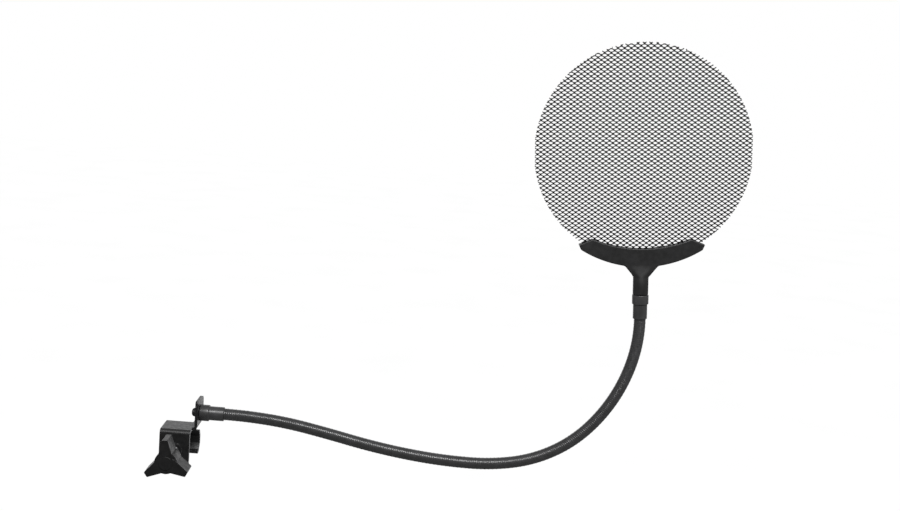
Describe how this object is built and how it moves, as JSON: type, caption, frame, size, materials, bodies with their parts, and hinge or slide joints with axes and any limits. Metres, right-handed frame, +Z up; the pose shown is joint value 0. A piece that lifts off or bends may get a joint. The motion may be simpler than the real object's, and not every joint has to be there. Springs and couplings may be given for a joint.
{
  "type": "pop filter",
  "caption": "Round lanced metal pop screen in a moulded crescent holder, on a gooseneck arm with a folded steel stand clamp and a lobed thumb screw.",
  "frame": {"origin": "middle of the clamp's flat jaw face, where the stand tube rests", "axes": "+X along the stand tube towards the arm, +Y into the jaw away from the thumb screw, +Z up from the jaw to the clamp's top web"},
  "size_m": [0.4022, 0.0616, 0.3221],
  "materials": {
    "clamp_paint": "satin black paint on sheet steel",
    "zinc_steel": "black zinc plated steel",
    "knob_plastic": "moulded black plastic with a fine grain",
    "pad_rubber": "matt black rubber",
    "fitting_black": "satin black turned steel",
    "coil_steel": "black oxide wound steel coil",
    "holder_plastic": "matt black moulded plastic",
    "insert_brass": "turned brass",
    "screen_steel": "black coated lanced steel"
  },
  "bodies": {
    "clamp": {"clamp_bracket": "clamp_paint", "ear_screw": "zinc_steel", "ear_lock_washer": "zinc_steel", "lower_end_fitting": "fitting_black", "gooseneck_segment_01": "coil_steel"},
    "pad": {"pressure_pad": "zinc_steel", "pad_facing": "pad_rubber"},
    "screw": {"thumb_screw": "zinc_steel", "thumb_screw_knob": "knob_plastic"},
    "arm_02": {"gooseneck_segment_02": "coil_steel"},
    "arm_03": {"gooseneck_segment_03": "coil_steel"},
    "arm_04": {"gooseneck_segment_04": "coil_steel"},
    "arm_05": {"gooseneck_segment_05": "coil_steel"},
    "arm_06": {"gooseneck_segment_06": "coil_steel"},
    "arm_07": {"gooseneck_segment_07": "coil_steel"},
    "arm_08": {"gooseneck_segment_08": "coil_steel"},
    "arm_09": {"gooseneck_segment_09": "coil_steel"},
    "arm_10": {"gooseneck_segment_10": "coil_steel"},
    "arm_11": {"gooseneck_segment_11": "coil_steel"},
    "head": {"gooseneck_segment_12": "coil_steel", "upper_end_fitting": "fitting_black", "holder_front_shell": "holder_plastic", "holder_rear_shell": "holder_plastic", "holder_thread_insert": "insert_brass", "mesh_screen": "screen_steel"}
  },
  "joints": [
    {"name": "screw_travel", "type": "slide", "parent": "clamp", "child": "pad", "axis": [0, 1, 0], "range_m": [-0.0035, 0.01]},
    {"name": "knob_turn", "type": "hinge", "parent": "pad", "child": "screw", "pos_m": [0, -0.03, 0], "axis": [0, 1, 0], "range_deg": [-995, 2840]},
    {"name": "arm_bend_01_vertical", "type": "hinge", "parent": "clamp", "child": "arm_02", "pos_m": [0.06061, -0.0075, 0.02168], "axis": [0, -1, 0], "range_deg": [-30, 20]},
    {"name": "arm_bend_02_sideways", "type": "hinge", "parent": "arm_02", "child": "arm_03", "pos_m": [0.09055, -0.0075, 0.01747], "axis": [0.1908, 0, 0.9816], "range_deg": [-25, 25]},
    {"name": "arm_bend_03_vertical", "type": "hinge", "parent": "arm_03", "child": "arm_04", "pos_m": [0.12017, -0.0075, 0.01131], "axis": [0, -1, 0], "range_deg": [-30, 20]},
    {"name": "arm_bend_04_sideways", "type": "hinge", "parent": "arm_04", "child": "arm_05", "pos_m": [0.14988, -0.0075, 0.00567], "axis": [0.1564, 0, 0.9877], "range_deg": [-25, 25]},
    {"name": "arm_bend_05_vertical", "type": "hinge", "parent": "arm_05", "child": "arm_06", "pos_m": [0.1799, -0.0075, 0.00199], "axis": [0, -1, 0], "range_deg": [-30, 20]},
    {"name": "arm_bend_06_sideways", "type": "hinge", "parent": "arm_06", "child": "arm_07", "pos_m": [0.21011, -0.0075, 0.00067], "axis": [0, 0, 1], "range_deg": [-25, 25]},
    {"name": "arm_bend_07_vertical", "type": "hinge", "parent": "arm_07", "child": "arm_08", "pos_m": [0.24016, -0.0075, 0.00369], "axis": [0, -1, 0], "range_deg": [-30, 20]},
    {"name": "arm_bend_08_sideways", "type": "hinge", "parent": "arm_08", "child": "arm_09", "pos_m": [0.26838, -0.0075, 0.01424], "axis": [-0.4924, 0, 0.8704], "range_deg": [-25, 25]},
    {"name": "arm_bend_09_vertical", "type": "hinge", "parent": "arm_09", "child": "arm_10", "pos_m": [0.29187, -0.0075, 0.03309], "axis": [0, -1, 0], "range_deg": [-30, 20]},
    {"name": "arm_bend_10_sideways", "type": "hinge", "parent": "arm_10", "child": "arm_11", "pos_m": [0.30895, -0.0075, 0.05795], "axis": [-0.891, 0, 0.454], "range_deg": [-25, 25]},
    {"name": "arm_bend_11_vertical", "type": "hinge", "parent": "arm_11", "child": "head", "pos_m": [0.31902, -0.0075, 0.08639], "axis": [0, -1, 0], "range_deg": [-30, 20]}
  ],
  "couplings": [
    {"joint": "knob_turn", "follows": "screw_travel", "rad_per_m": 4947.4}
  ]
}
